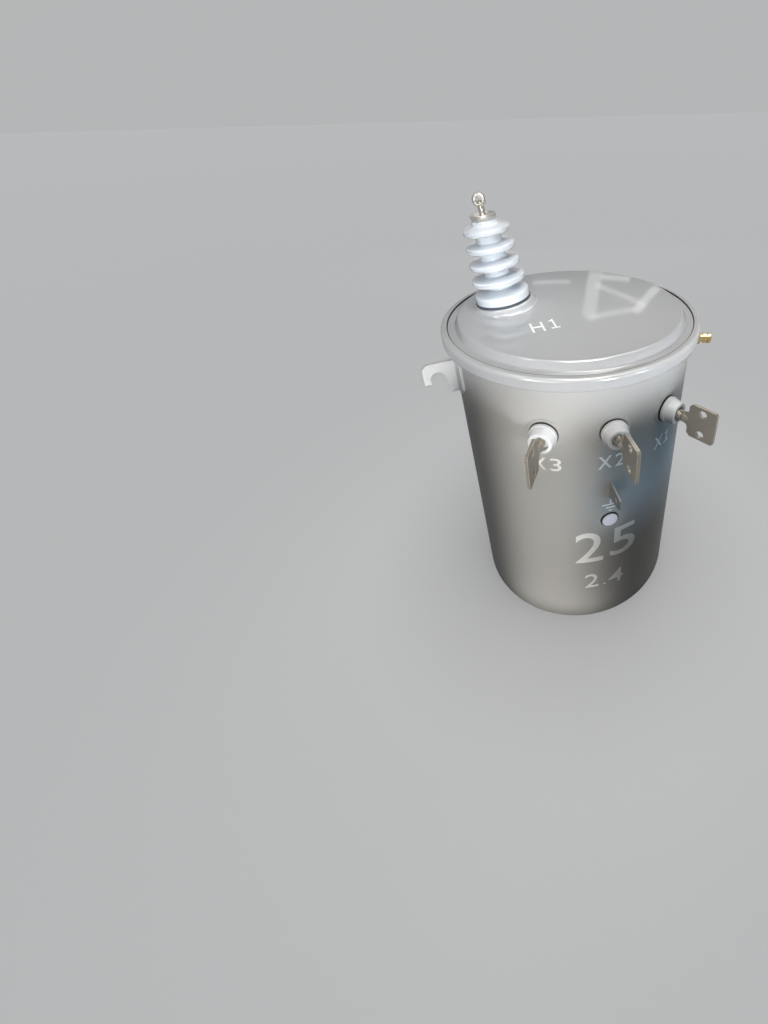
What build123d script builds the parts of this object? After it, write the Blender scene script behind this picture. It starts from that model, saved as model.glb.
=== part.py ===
from build123d import *
import math
import os

# Single-phase transformer for mounting on a pole, about 25 kVA, in millimetres.
# The origin is the centre of the tank's foot rim on the floor, with +Z up.
# -Y is the side of the middle low voltage bushing, and +Y is the side that hangs on the pole.
# Azimuths are degrees about +Z from +X.

edge_round = 1.0

# Tank
tank_radius = 240.0
tank_wall = 3.0
tank_height = 675.0
lip_reach = 9.0
lip_drop = 10.0
lip_bend = 2.5
foot_height = 18.0
bottom_sheet = 3.0
bottom_bend = 8.0
fill_below_rim = 155.0
fill_clearance = 0.5

# Cover, its gasket and the clamping band
gasket_height = 8.0
gasket_width = 10.0
gasket_setback = 0.5
cover_sheet = 3.0
cover_flange_spare = 0.5
cover_valley_inset = 11.0
cover_shoulder_inset = 19.0
cover_rise = 15.5
cover_crown = 7.0
cover_valley_bend = 4.0
cover_shoulder_bend = 7.0
band_sheet = 2.5
band_clearance = 0.3
band_lip_inset = 5.2
band_bend = 6.5
band_gap = 14.0
band_azimuth = 62.0

# Ears that draw the band tight, with their bolt
ear_reach = 24.0
ear_sheet = 5.0
ear_foot_length = 30.0
ear_height = 16.0
ear_corner = 5.0
ear_bolt_radius = 5.0
ear_bolt_clearance = 0.5
ear_bolt_from_band = 15.0
bolt_head_flats = 16.0
bolt_head_height = 6.5
bolt_nut_height = 8.0
bolt_thread_spare = 8.0

# High voltage bushing on the cover
hv_azimuth = 158.0
hv_from_wall = 107.5
hv_lean = 7.5
hv_boss_height = 13.0
hv_boss_top_radius = 59.0
hv_boss_foot_spread = 8.0
hv_boss_bend = 4.5
hv_boss_flare = 2.3
hv_hole_radius = 30.0
hv_gasket_radius = 55.0
hv_gasket_height = 4.0
hv_foot_radius = 53.5
hv_foot_height = 19.0
hv_core_radius = 24.5
hv_tail_radius = 27.0
hv_tail_length = 60.0
hv_tail_bore = 7.5
hv_stud_tail = 13.5
hv_shed_count = 4
hv_shed_pitch = 30.8
hv_first_shed_radius = 51.7
hv_shed_taper = 2.8
hv_shed_rim = 10.0
hv_shed_slope = 5.0
hv_shed_under_slope = 2.5
hv_shed_bend = 3.0
hv_neck_length = 8.0
hv_cap_radius = 24.0
hv_cap_height = 10.0
hv_cap_dish = 4.0
hv_cap_wall = 3.0
hv_stud_radius = 6.2
hv_stud_rise = 12.3
hv_eye_radius = 12.0
hv_eye_hole_radius = 6.7
hv_eye_width = 15.0
hv_eye_bend = 2.5
hv_eye_azimuth = 75.0
hv_screw_radius = 4.0
hv_screw_rise = 5.0

# Low voltage bushings
lv_below_rim = 108.0
lv_azimuth = -90.0
lv_spacing = 29.0
lv_seat_radius = 30.0
lv_seat_rise = 1.5
lv_seat_bend = 4.0
lv_seat_flank = 6.0
lv_seat_drop = 4.0
lv_gasket_radius = 26.5
lv_gasket_length = 3.0
lv_foot_radius = 25.5
lv_foot_length = 7.0
lv_step = 1.4
lv_body_length = 25.0
lv_end_radius = 21.0
lv_end_bend = 2.0
lv_recess_radius = 14.5
lv_recess_depth = 9.0
lv_tail_radius = 17.0
lv_tail_length = 30.0
lv_tail_clearance = 1.5
lv_stud_radius = 7.9
lv_stud_clearance = 0.4

# Flat terminals with two holes, one above the other
spade_from_seat = 47.5
spade_width = 52.5
spade_height = 69.0
spade_sheet = 6.0
spade_hole_spacing = 44.45
spade_hole_radius = 7.15
spade_outer_corner = 4.0
spade_inner_corner = 6.5
spade_neck_height = 21.0
spade_neck_length = 17.0
spade_neck_curve = 8.5
stud_nose = 9.0

# Lifting lugs
lug_azimuths = (187.0, 7.0)
lug_sheet = 6.0
lug_below_rim = 34.0
lug_root_height = 68.0
lug_root_width = 18.0
lug_reach = 64.5
lug_leg_width = 12.0
lug_leg_height = 42.5
lug_slot_radius = 14.0
lug_arch = 18.3
lug_outer_corner = 13.0
lug_leg_corner = 2.0
lug_foot_sheet = 4.0
lug_foot_width = 35.0
lug_foot_rise = 13.0
lug_foot_cut = 19.0

# Brackets that hang the tank on a pole
bracket_spacing = 285.75
bracket_below_rim = 119.0
bracket_reach = 82.0
bracket_sheet = 6.0
bracket_width = 92.0
bracket_height = 96.0
bracket_root_height = 70.0
bracket_bend = 9.0
bracket_slot_width = 21.0
bracket_slot_height = 58.0
bracket_mouth_width = 38.0
bracket_mouth_height = 16.0

# Grounding points under the middle low voltage bushing
tab_sheet = 3.5
tab_below_rim = 232.0
tab_reach = 47.0
tab_root_height = 42.0
tab_end_height = 24.0
tab_slope = 6.0
tab_hole_radius = 6.5
tab_hole_from_end = 15.0
tab_corner = 3.0
pad_below_tab = 105.5
pad_radius = 16.5
pad_face = 2.4
pad_ring_width = 2.8
pad_ring_face = 2.2
pad_cap_thickness = 1.6
pad_cap_bend = 0.8
pad_hole_radius = 6.0
pad_hole_depth = 3.6

# Pressure relief valve high on the tank's side
valve_azimuth = -22.0
valve_below_rim = 39.0
coupling_radius = 14.0
coupling_length = 16.0
valve_shank_radius = 8.0
valve_hex_flats = 22.0
valve_hex_length = 8.0
valve_neck_radius = 8.0
valve_neck_length = 6.0
valve_cap_radius = 10.5
valve_cap_length = 16.0
valve_cap_chamfer = 2.5
valve_groove_from_neck = 6.0
valve_groove_width = 3.0
valve_groove_depth = 1.2
valve_bore_radius = 3.0

# Places that follow from the sizes above
lip_radius = tank_radius + lip_reach
fill_height = tank_height - fill_below_rim
cover_flange_radius = lip_radius + cover_flange_spare
cover_valley_radius = tank_radius - cover_valley_inset
cover_shoulder_radius = tank_radius - cover_shoulder_inset
gasket_top = tank_height + gasket_height
cover_top = gasket_top + cover_sheet
band_bottom = tank_height - lip_drop - band_sheet
band_top = cover_top + band_sheet
band_lip_radius = lip_radius - band_lip_inset
band_inner = cover_flange_radius + band_bend - band_sheet + band_clearance
band_outer = band_inner + band_sheet
band_middle = (band_bottom + band_top) / 2
hv_distance = tank_radius - hv_from_wall
lv_height = tank_height - lv_below_rim
seat_face = tank_radius + lv_seat_rise
lug_top = tank_height - lug_below_rim
bracket_upper_height = tank_height - bracket_below_rim
tab_top = tank_height - tab_below_rim
pad_height = tab_top - pad_below_tab
valve_height = tank_height - valve_below_rim


def outline(*corners):
    """A flat face from (x, y) or (x, y, rounding) corners."""
    face = make_face(Polyline(*[corner[:2] for corner in corners], close=True))
    for corner in corners:
        if len(corner) > 2:
            vertex = face.vertices().sort_by_distance(corner[:2])[0]
            face = fillet(vertex, corner[2])
    return face


def turned(*corners):
    """A solid of revolution about Z from (radius, height, rounding) corners."""
    return revolve(Plane.XZ * outline(*corners), Axis.Z)


def plate(face, thickness):
    """A face drawn in the XZ plane, thickened evenly to both sides of it."""
    return extrude(Plane.XZ * face, thickness / 2, both=True)


def outward(azimuth, height, distance=0.0):
    """A frame whose Z points out of the tank at an azimuth, and whose Y points up."""
    angle = math.radians(azimuth)
    out = Vector(math.cos(angle), math.sin(angle), 0)
    side = Vector(-math.sin(angle), math.cos(angle), 0)
    return Plane(origin=out * distance + Vector(0, 0, height), x_dir=side, z_dir=out)


def at_azimuth(azimuth):
    """Turns a shape that was made in the XZ plane to its place round the tank."""
    return Rot(0, 0, azimuth)


def cover_frame():
    """The leaning frame of the high voltage bushing, with its origin on the cover's pan."""
    rise = cover_top + cover_rise
    lean = Plane(origin=(hv_distance, 0, rise), x_dir=(1, 0, 0), z_dir=(0, 0, 1))
    return at_azimuth(hv_azimuth) * lean.location * Rot(0, hv_lean, 0)


def tank_shell():
    """The rolled tank wall with its turned-over lip, and a flat seat for each low voltage bushing."""
    inner = tank_radius - tank_wall
    shell = turned(
        (inner, 0),
        (tank_radius, 0),
        (tank_radius, tank_height - tank_wall, lip_bend / 2),
        (lip_radius - tank_wall, tank_height - tank_wall),
        (lip_radius - tank_wall, tank_height - lip_drop),
        (lip_radius, tank_height - lip_drop),
        (lip_radius, tank_height, lip_bend),
        (inner, tank_height, lip_bend),
    )
    seat = turned(
        (0, -lv_seat_drop),
        (lv_seat_radius + lv_seat_flank, -lv_seat_drop),
        (lv_seat_radius, lv_seat_rise, lv_seat_bend),
        (0, lv_seat_rise),
    )
    hollow = Cylinder(inner, tank_height, align=(Align.CENTER, Align.CENTER, Align.MIN))
    for azimuth in lv_azimuths():
        shell += outward(azimuth, lv_height, tank_radius).location * seat - hollow
    for azimuth in lv_azimuths():
        opening = Cylinder(lv_tail_radius + lv_tail_clearance, tank_wall * 6)
        shell -= outward(azimuth, lv_height, tank_radius).location * opening
    for azimuth, height, radius in ((valve_azimuth, valve_height, valve_shank_radius),
                                    (lv_azimuth, pad_height, pad_radius)):
        shell -= outward(azimuth, height, tank_radius).location * Cylinder(radius, tank_wall * 6)
    return shell


def tank_bottom():
    """The pressed bottom, a shallow pan upside down inside the foot of the wall."""
    fit = tank_radius - tank_wall
    return turned(
        (0, foot_height),
        (fit, foot_height, bottom_bend),
        (fit, 0),
        (fit - bottom_sheet, 0),
        (fit - bottom_sheet, foot_height - bottom_sheet, bottom_bend - bottom_sheet),
        (0, foot_height - bottom_sheet),
    )


def core_coils_and_oil():
    """One plain body for all that the closed tank holds."""
    radius = tank_radius - tank_wall - fill_clearance
    return turned((0, foot_height), (radius - bottom_bend, foot_height), (radius, foot_height + bottom_bend),
                  (radius, fill_height), (0, fill_height))


def cover_form(drop):
    """The cover's upper side as a solid, or with drop its underside, one sheet lower."""
    foot = gasket_top - cover_sheet
    flange = cover_top - drop
    reach = cover_flange_radius + drop
    valley = (cover_valley_radius - drop, flange)
    shoulder = (cover_shoulder_radius - drop, flange + cover_rise)
    summit = (0, shoulder[1] + cover_crown)
    crown_radius = (shoulder[0] ** 2 + cover_crown ** 2) / (2 * cover_crown)
    rim = Polyline((0, foot), (reach, foot), (reach, flange), valley, shoulder)
    crown = RadiusArc(shoulder, summit, -crown_radius)
    face = make_face([rim, crown, Line(summit, (0, foot))])
    face = fillet(face.vertices().sort_by_distance(valley)[0], cover_valley_bend + drop)
    face = fillet(face.vertices().sort_by_distance(shoulder)[0], cover_shoulder_bend - drop)
    return revolve(Plane.XZ * face, Axis.Z)


def boss(drop):
    """The raised round seat of the high voltage bushing, or with drop the hollow under it."""
    top = hv_boss_top_radius - drop
    foot = top + hv_boss_foot_spread
    height = hv_boss_height - drop
    base = -cover_rise / 2
    return turned(
        (0, base),
        (foot, base),
        (foot, 0),
        (top + hv_boss_bend, hv_boss_flare, hv_boss_bend * 2),
        (top, height, hv_boss_bend),
        (0, height),
    )


def cover():
    """The pressed cover: flat flange, raised pan and the seat for the high voltage bushing."""
    opening = Cylinder(hv_hole_radius, cover_rise * 6)
    raised = cover_form(0) + cover_frame() * boss(0)
    hollow = cover_form(cover_sheet) + cover_frame() * boss(cover_sheet) + cover_frame() * opening
    return raised - hollow


def cover_gasket():
    """The rubber ring between the tank's lip and the cover's flange."""
    outer = lip_radius - gasket_setback
    return turned(
        (outer - gasket_width, tank_height),
        (outer, tank_height),
        (outer, gasket_top),
        (outer - gasket_width, gasket_top),
    )


def cover_band():
    """The split channel ring that clamps the cover to the tank's lip."""
    ring = turned(
        (band_lip_radius, band_bottom),
        (band_outer, band_bottom, band_bend),
        (band_outer, band_top, band_bend),
        (band_lip_radius, band_top),
        (band_lip_radius, band_top - band_sheet),
        (band_inner, band_top - band_sheet, band_bend - band_sheet),
        (band_inner, band_bottom + band_sheet, band_bend - band_sheet),
        (band_lip_radius, band_bottom + band_sheet),
    )
    cut = Pos(band_inner, 0, band_middle) * Box(lip_reach * 6, band_gap, band_top - band_bottom + band_sheet)
    return ring - at_azimuth(band_azimuth) * cut


def band_ear(side):
    """One bent ear: a foot along the band and a plate that stands out beside the gap."""
    height = ear_height
    foot_sweep = math.degrees(ear_foot_length / band_outer)
    start = math.degrees(band_gap / 2 / band_outer)
    ring = turned(
        (band_outer, band_middle - height / 2),
        (band_outer + ear_sheet, band_middle - height / 2),
        (band_outer + ear_sheet, band_middle + height / 2),
        (band_outer, band_middle + height / 2),
    )
    near = Rot(0, 0, side * start) * Pos(0, side * band_outer, 0)
    far = Rot(0, 0, side * (start + foot_sweep)) * Pos(0, -side * band_outer, 0)
    block = Box(band_outer * 4, band_outer * 2, band_top * 3)
    foot = ring & near * block & far * block
    foot -= Pos(-band_outer * 2, 0, 0) * Box(band_outer * 4, band_outer * 4, band_top * 3)
    ear = outline(
        (band_outer, -height / 2),
        (band_outer + ear_reach, -height / 2, ear_corner),
        (band_outer + ear_reach, height / 2, ear_corner),
        (band_outer, height / 2),
    )
    ear = Pos(0, side * (band_gap / 2 + ear_sheet / 2), band_middle) * plate(ear, ear_sheet)
    bored = Rot(90, 0, 0) * Cylinder(ear_bolt_radius + ear_bolt_clearance, band_gap * 4)
    ear -= Pos(band_outer + ear_bolt_from_band, 0, band_middle) * bored
    ear -= Cylinder(band_outer, band_top * 3)
    return at_azimuth(band_azimuth) * (foot + ear)


def ear_bolt_frame():
    """A frame on the bolt's axis, in the middle of the band's gap, with Z along the bolt."""
    centre = Pos(band_outer + ear_bolt_from_band, 0, band_middle)
    return at_azimuth(band_azimuth) * centre * Rot(-90, 0, 0)


def band_bolt():
    """The hexagon bolt through both ears."""
    grip = band_gap / 2 + ear_sheet
    length = grip * 2 + bolt_nut_height + bolt_thread_spare
    shank = Pos(0, 0, -grip) * Cylinder(ear_bolt_radius, length, align=(Align.CENTER, Align.CENTER, Align.MIN))
    head = extrude(RegularPolygon(bolt_head_flats / 2, 6, major_radius=False), bolt_head_height)
    return ear_bolt_frame() * (shank + Pos(0, 0, -grip - bolt_head_height) * head)


def band_nut():
    """The nut that draws the band tight."""
    grip = band_gap / 2 + ear_sheet
    nut = extrude(RegularPolygon(bolt_head_flats / 2, 6, major_radius=False), bolt_nut_height)
    nut -= Cylinder(ear_bolt_radius, bolt_nut_height * 3)
    return ear_bolt_frame() * Pos(0, 0, grip) * nut


def hv_seat():
    """The frame on top of the cover's boss, along the bushing's axis."""
    return cover_frame() * Pos(0, 0, hv_boss_height)


def hv_gasket():
    """The rubber ring under the bushing's foot."""
    return hv_seat() * turned(
        (hv_hole_radius, 0),
        (hv_gasket_radius, 0, edge_round),
        (hv_gasket_radius, hv_gasket_height, edge_round),
        (hv_hole_radius, hv_gasket_height),
    )


def hv_shed_heights():
    """The height of each shed's rim above the bushing's gasket."""
    first = hv_foot_height / 2 + hv_shed_pitch
    return [first + hv_shed_pitch * number for number in range(hv_shed_count)]


def hv_porcelain_top():
    """Where the porcelain ends, above its gasket."""
    return hv_shed_heights()[-1] + hv_shed_rim / 2 + hv_shed_slope + hv_neck_length


def hv_porcelain():
    """The ribbed insulator: foot, sheds that get smaller upward, and a tail through the cover."""
    top = hv_porcelain_top()
    bend = hv_shed_bend
    core = hv_core_radius
    corners = [
        (hv_tail_bore, -hv_tail_length),
        (hv_tail_radius, -hv_tail_length, bend),
        (hv_tail_radius, 0),
        (hv_foot_radius, 0, bend / 2),
        (hv_foot_radius, hv_foot_height - bend, bend),
        (core, hv_foot_height + hv_shed_slope, bend),
    ]
    for number, height in enumerate(hv_shed_heights()):
        radius = hv_first_shed_radius - hv_shed_taper * number
        corners += [
            (core, height - hv_shed_rim / 2 - hv_shed_under_slope, bend),
            (radius, height - hv_shed_rim / 2, bend),
            (radius, height + hv_shed_rim / 2, bend),
            (core, height + hv_shed_rim / 2 + hv_shed_slope, bend),
        ]
    corners += [(core, top), (hv_tail_bore, top)]
    return hv_seat() * Pos(0, 0, hv_gasket_height) * turned(*corners)


def hv_top_frame():
    """The frame on the porcelain's upper end."""
    return hv_seat() * Pos(0, 0, hv_gasket_height + hv_porcelain_top())


def hv_cap():
    """The dished metal cap that closes the porcelain."""
    rim = hv_cap_radius
    return hv_top_frame() * turned(
        (hv_stud_radius, 0),
        (hv_core_radius - hv_cap_wall, 0),
        (rim, hv_cap_height - hv_cap_dish, edge_round),
        (rim, hv_cap_height, edge_round),
        (rim - hv_cap_wall, hv_cap_height, edge_round),
        (rim - hv_cap_wall * 2, hv_cap_height - hv_cap_dish, edge_round),
        (hv_stud_radius, hv_cap_height - hv_cap_dish),
    )


def hv_terminal():
    """The terminal stud and the round eye that takes the line lead."""
    below = hv_tail_length + hv_porcelain_top() + hv_stud_tail
    eye_height = hv_cap_height + hv_stud_rise + hv_eye_radius
    stud = Pos(0, 0, -below) * Cylinder(hv_stud_radius, below + eye_height - hv_eye_hole_radius,
                                        align=(Align.CENTER, Align.CENTER, Align.MIN))
    eye = Rot(90, 0, 0) * Cylinder(hv_eye_radius, hv_eye_width)
    eye = fillet(eye.edges().filter_by(GeomType.CIRCLE), hv_eye_bend)
    hole = Rot(90, 0, 0) * Cylinder(hv_eye_hole_radius, hv_eye_width * 3)
    shape = stud + Pos(0, 0, eye_height) * eye - Pos(0, 0, eye_height) * hole
    return hv_top_frame() * hv_eye_turn() * shape


def hv_eye_turn():
    """Turns the eye's hole to face the front of the tank."""
    return Rot(0, 0, hv_eye_azimuth - 90 - hv_azimuth)


def hv_clamp_screw():
    """The round-ended screw that clamps the lead inside the eye."""
    eye_height = hv_cap_height + hv_stud_rise + hv_eye_radius
    floor = eye_height - hv_eye_hole_radius
    screw = Cylinder(hv_screw_radius, hv_screw_rise * 2)
    screw = fillet(screw.edges().filter_by(GeomType.CIRCLE).sort_by(Axis.Z)[-1], hv_screw_rise / 2)
    hole = Pos(0, 0, eye_height) * Rot(90, 0, 0) * Cylinder(hv_eye_hole_radius, hv_eye_width)
    return hv_top_frame() * hv_eye_turn() * (Pos(0, 0, floor) * screw & hole)


def lv_azimuths():
    """The three low voltage bushings in order: X1 on the right, X2 in the middle, X3 on the left."""
    return [lv_azimuth + lv_spacing, lv_azimuth, lv_azimuth - lv_spacing]


def lv_gasket():
    """The rubber ring between the tank's seat and a low voltage bushing."""
    return turned(
        (lv_tail_radius, 0),
        (lv_gasket_radius, 0, edge_round),
        (lv_gasket_radius, lv_gasket_length, edge_round),
        (lv_tail_radius, lv_gasket_length),
    )


def lv_insulator():
    """The stepped and tapered insulator with a recess round its stud."""
    foot_end = lv_gasket_length + lv_foot_length
    end = lv_gasket_length + lv_body_length
    bore = lv_stud_radius + lv_stud_clearance
    return turned(
        (bore, -lv_tail_length),
        (lv_tail_radius, -lv_tail_length),
        (lv_tail_radius, lv_gasket_length),
        (lv_foot_radius, lv_gasket_length, edge_round),
        (lv_foot_radius, foot_end, edge_round),
        (lv_foot_radius - lv_step, foot_end + edge_round),
        (lv_end_radius, end, lv_end_bend),
        (lv_recess_radius, end, lv_end_bend / 2),
        (lv_recess_radius, end - lv_recess_depth),
        (bore, end - lv_recess_depth),
    )


def spade():
    """A round stud that runs into a flat blade with two holes, drawn along +Z with the blade in XZ."""
    half = spade_height / 2
    neck = spade_neck_height / 2
    start = spade_from_seat
    end = start + spade_width
    chamfer_in = spade_inner_corner
    chamfer_out = spade_outer_corner
    blade = outline(
        (-neck, start - spade_neck_length),
        (-neck, start, spade_neck_curve),
        (-half + chamfer_in, start),
        (-half, start + chamfer_in),
        (-half, end - chamfer_out),
        (-half + chamfer_out, end),
        (half - chamfer_out, end),
        (half, end - chamfer_out),
        (half, start + chamfer_in),
        (half - chamfer_in, start),
        (neck, start, spade_neck_curve),
        (neck, start - spade_neck_length),
    )
    blade = plate(blade, spade_sheet)
    middle = start + spade_width / 2
    for side in (-1, 1):
        hole = Rot(90, 0, 0) * Cylinder(spade_hole_radius, spade_sheet * 3)
        blade -= Pos(side * spade_hole_spacing / 2, 0, middle) * hole
    stud = turned(
        (0, -lv_tail_length - stud_nose),
        (lv_stud_radius, -lv_tail_length - stud_nose),
        (lv_stud_radius, start - spade_neck_length / 2),
        (spade_sheet / 2, start - spade_neck_length / 2 + stud_nose),
        (0, start - spade_neck_length / 2 + stud_nose),
    )
    return stud + blade


def lifting_lug():
    """A hooked plate, open below, that takes a sling and stands on a foot plate along the wall."""
    wall = tank_radius
    root = lug_top - lug_root_height
    tip = lug_top - lug_leg_height
    leg_inside = wall + lug_reach - lug_leg_width
    arch_top = lug_top - lug_arch
    arch_centre = arch_top - lug_slot_radius
    body = outline(
        (wall - tank_wall, root),
        (wall + lug_root_width, root),
        (leg_inside - lug_slot_radius * 2, arch_centre),
        (leg_inside, arch_centre),
        (leg_inside, tip, lug_leg_corner),
        (wall + lug_reach, tip, lug_leg_corner),
        (wall + lug_reach, lug_top, lug_outer_corner),
        (wall - tank_wall, lug_top),
    )
    body -= Pos(leg_inside - lug_slot_radius, arch_centre) * Circle(lug_slot_radius)
    foot = outline(
        (-lug_sheet / 2, root),
        (lug_foot_width - lug_foot_cut, root),
        (lug_foot_width, root + lug_foot_cut),
        (lug_foot_width, lug_top + lug_foot_rise),
        (-lug_sheet / 2, lug_top + lug_foot_rise),
    )
    foot = extrude(Plane.YZ * foot, wall * 2) & Cylinder(wall + lug_foot_sheet, tank_height * 3)
    return plate(body, lug_sheet) + foot - Cylinder(wall, tank_height * 3)


def hanger_bracket():
    """A bent channel: two cheeks on the tank and a slotted face that hooks on the pole's bolt."""
    face = tank_radius + bracket_reach
    half = bracket_height / 2
    root = bracket_root_height / 2
    side = outline(
        (0, -root),
        (face - bracket_bend * 2, -half),
        (face, -half),
        (face, half),
        (face - bracket_bend * 2, half),
        (0, root),
    )
    channel = plate(side, bracket_width)
    inside = Box(face * 2 - bracket_sheet * 2, bracket_width - bracket_sheet * 2, bracket_height * 2)
    bends = channel.edges().filter_by(Axis.Z).sort_by(Axis.X)[-2:]
    channel = fillet(bends, bracket_bend)
    inner_bends = inside.edges().filter_by(Axis.Z).sort_by(Axis.X)[-2:]
    channel -= fillet(inner_bends, bracket_bend - bracket_sheet)
    slot_half = bracket_slot_width / 2
    slot_centre = bracket_slot_height - half - slot_half
    mouth_half = bracket_mouth_width / 2
    slot = outline(
        (-mouth_half, -half - bracket_sheet),
        (-mouth_half, -half),
        (-slot_half, -half + bracket_mouth_height),
        (-slot_half, slot_centre),
        (slot_half, slot_centre),
        (slot_half, -half + bracket_mouth_height),
        (mouth_half, -half),
        (mouth_half, -half - bracket_sheet),
    )
    slot += Pos(0, slot_centre) * Circle(slot_half)
    slot = extrude(Plane.YZ * slot, face * 2)
    channel -= slot
    return channel - Cylinder(tank_radius, bracket_height * 3)


def ground_tab():
    """The plate under the middle bushing that takes the grounding strap."""
    wall = tank_radius
    end = wall + tab_reach
    body = outline(
        (wall - tank_wall, tab_top - tab_root_height),
        (wall, tab_top - tab_root_height),
        (end, tab_top - tab_slope - tab_end_height, tab_corner),
        (end, tab_top - tab_slope, tab_corner),
        (wall, tab_top),
        (wall - tank_wall, tab_top),
    )
    hole = Rot(90, 0, 0) * Cylinder(tab_hole_radius, tab_sheet * 3)
    hole = Pos(end - tab_hole_from_end, 0, tab_top - tab_slope - tab_end_height / 2) * hole
    return plate(body, tab_sheet) - hole - Cylinder(wall, tank_height * 3)


def ground_pad():
    """The pad set into the wall, with a blind hole for a grounding screw."""
    pad = turned(
        (0, -tank_wall),
        (pad_radius, -tank_wall),
        (pad_radius, pad_face),
        (pad_hole_radius, pad_face),
        (pad_hole_radius, pad_face - pad_hole_depth),
        (0, pad_face - pad_hole_depth),
    )
    return outward(lv_azimuth, pad_height, tank_radius).location * pad


def ground_pad_ring():
    """The dark ring that seals the pad's cap against the paint."""
    outer = pad_radius + pad_ring_width
    ring = turned((pad_radius, -tank_wall), (outer, -tank_wall), (outer, pad_ring_face, edge_round),
                  (pad_radius, pad_ring_face))
    ring = outward(lv_azimuth, pad_height, tank_radius).location * ring
    return ring - Cylinder(tank_radius, tank_height * 3)


def ground_pad_cap():
    """The pale plug that keeps the pad's thread clean."""
    cap = turned(
        (0, -pad_hole_depth / 2),
        (pad_hole_radius, -pad_hole_depth / 2),
        (pad_hole_radius, 0),
        (pad_radius, 0),
        (pad_radius, pad_cap_thickness, pad_cap_bend),
        (0, pad_cap_thickness),
    )
    return outward(lv_azimuth, pad_height, tank_radius + pad_face).location * cap


def relief_valve_coupling():
    """The steel half coupling that is welded to the wall for the valve."""
    coupling = turned(
        (valve_shank_radius, -tank_wall),
        (coupling_radius, -tank_wall),
        (coupling_radius, coupling_length, edge_round),
        (valve_shank_radius, coupling_length),
    )
    coupling = outward(valve_azimuth, valve_height, tank_radius).location * coupling
    return coupling - Cylinder(tank_radius, tank_height * 3)


def relief_valve_body():
    """The valve's threaded shank, hexagon and neck."""
    shank = turned(
        (valve_bore_radius, -tank_wall),
        (valve_shank_radius, -tank_wall),
        (valve_shank_radius, coupling_length),
        (valve_bore_radius, coupling_length),
    )
    hexagon = extrude(RegularPolygon(valve_hex_flats / 2, 6, major_radius=False), valve_hex_length)
    neck = Cylinder(valve_neck_radius, valve_neck_length, align=(Align.CENTER, Align.CENTER, Align.MIN))
    body = shank + Pos(0, 0, coupling_length) * hexagon
    body += Pos(0, 0, coupling_length + valve_hex_length) * neck
    return outward(valve_azimuth, valve_height, tank_radius).location * body


def relief_valve_cap():
    """The turned cap of the relief valve, with a groove and a chamfered outer edge."""
    start = coupling_length + valve_hex_length + valve_neck_length
    end = start + valve_cap_length
    groove = start + valve_groove_from_neck
    cap = turned(
        (0, start),
        (valve_cap_radius, start),
        (valve_cap_radius, groove),
        (valve_cap_radius - valve_groove_depth, groove + valve_groove_depth),
        (valve_cap_radius - valve_groove_depth, groove + valve_groove_width - valve_groove_depth),
        (valve_cap_radius, groove + valve_groove_width),
        (valve_cap_radius, end - valve_cap_chamfer),
        (valve_cap_radius - valve_cap_chamfer, end),
        (0, end),
    )
    return outward(valve_azimuth, valve_height, tank_radius).location * cap


def all_pieces():
    """Every piece of the transformer by its node's name, in place."""
    pieces = {
        "tank_shell": tank_shell(),
        "tank_bottom": tank_bottom(),
        "core_coils_and_oil": core_coils_and_oil(),
        "cover": cover(),
        "cover_gasket": cover_gasket(),
        "cover_band": cover_band(),
        "band_ear_left": band_ear(1),
        "band_ear_right": band_ear(-1),
        "band_bolt": band_bolt(),
        "band_nut": band_nut(),
        "hv_gasket": hv_gasket(),
        "hv_porcelain": hv_porcelain(),
        "hv_cap": hv_cap(),
        "hv_terminal": hv_terminal(),
        "hv_clamp_screw": hv_clamp_screw(),
        "ground_tab": at_azimuth(lv_azimuth) * ground_tab(),
        "ground_pad": ground_pad(),
        "ground_pad_ring": ground_pad_ring(),
        "ground_pad_cap": ground_pad_cap(),
        "relief_valve_coupling": relief_valve_coupling(),
        "relief_valve_body": relief_valve_body(),
        "relief_valve_cap": relief_valve_cap(),
    }
    for name, azimuth in zip(("x1", "x2", "x3"), lv_azimuths()):
        place = outward(azimuth, lv_height, seat_face).location
        pieces[name + "_gasket"] = place * lv_gasket()
        pieces[name + "_insulator"] = place * lv_insulator()
        pieces[name + "_spade"] = place * Rot(0, 0, 90) * spade()
    for name, azimuth in zip(("left", "right"), lug_azimuths):
        pieces["lifting_lug_" + name] = at_azimuth(azimuth) * lifting_lug()
    upper = bracket_upper_height
    for name, height in (("upper", upper), ("lower", upper - bracket_spacing)):
        pieces["hanger_bracket_" + name] = at_azimuth(90) * Pos(0, 0, height) * hanger_bracket()
    return pieces


os.makedirs("parts", exist_ok=True)
for name, piece in all_pieces().items():
    export_step(piece, "parts/" + name + ".step")
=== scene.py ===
import math
import bmesh
import bpy
from mathutils import Matrix, Vector
from mathutils.bvhtree import BVHTree


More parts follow.
